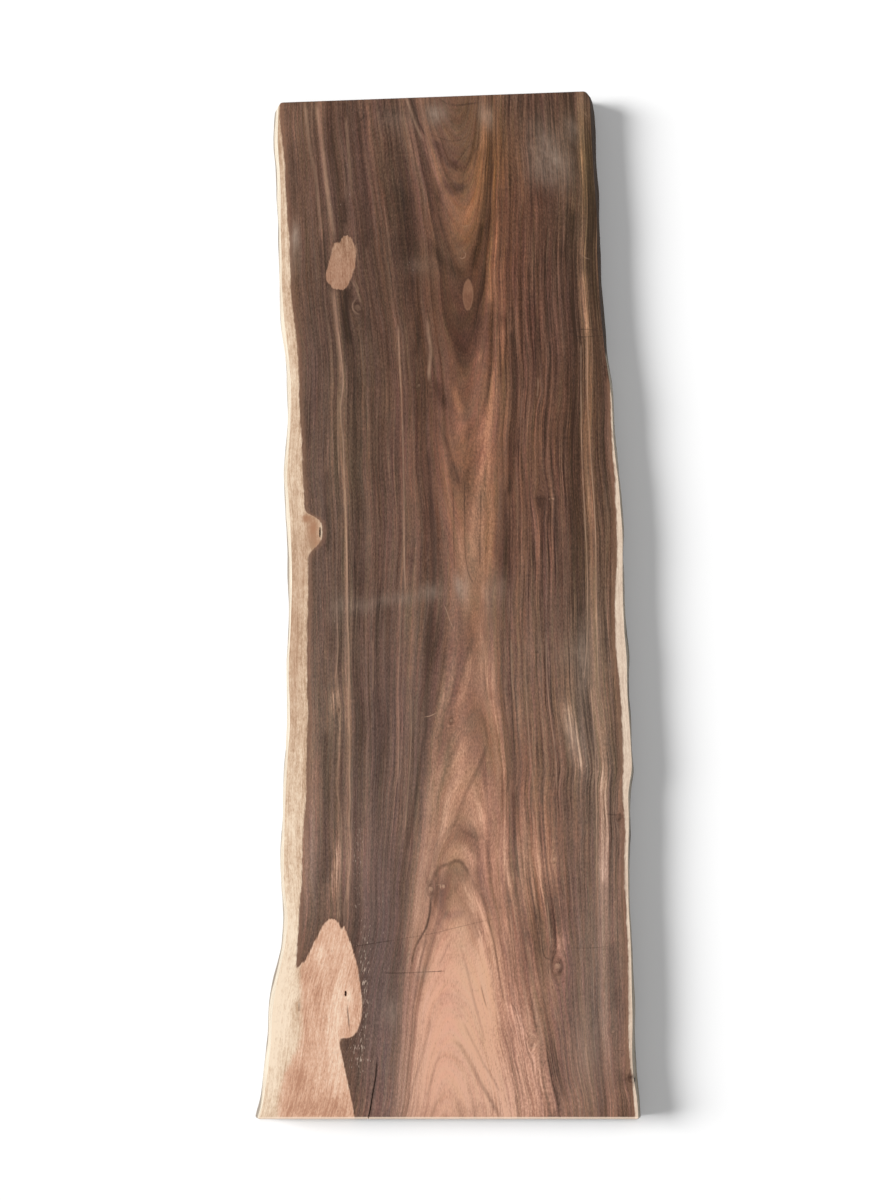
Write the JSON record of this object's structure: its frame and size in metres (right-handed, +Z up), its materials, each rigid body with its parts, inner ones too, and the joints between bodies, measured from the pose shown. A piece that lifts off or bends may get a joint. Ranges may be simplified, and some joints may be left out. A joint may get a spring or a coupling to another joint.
{
  "type": "live-edge wood slab",
  "caption": "Long live-edge hardwood slab with sawn flat faces, cross-cut ends and natural wavy long edges, for a table top, counter or bench.",
  "frame": {"origin": "under the middle of the slab, on its back face, which it lies on", "axes": "+X across the width, to the right as the front face is seen; +Y along the grain from the wide butt end to the narrow top end; +Z up through the thickness, out of the front face"},
  "size_m": [0.794, 2.2, 0.06],
  "materials": {
    "wood": "sanded, unoiled, satin"
  },
  "bodies": {
    "root": {"slab": "wood"}
  },
  "joints": []
}
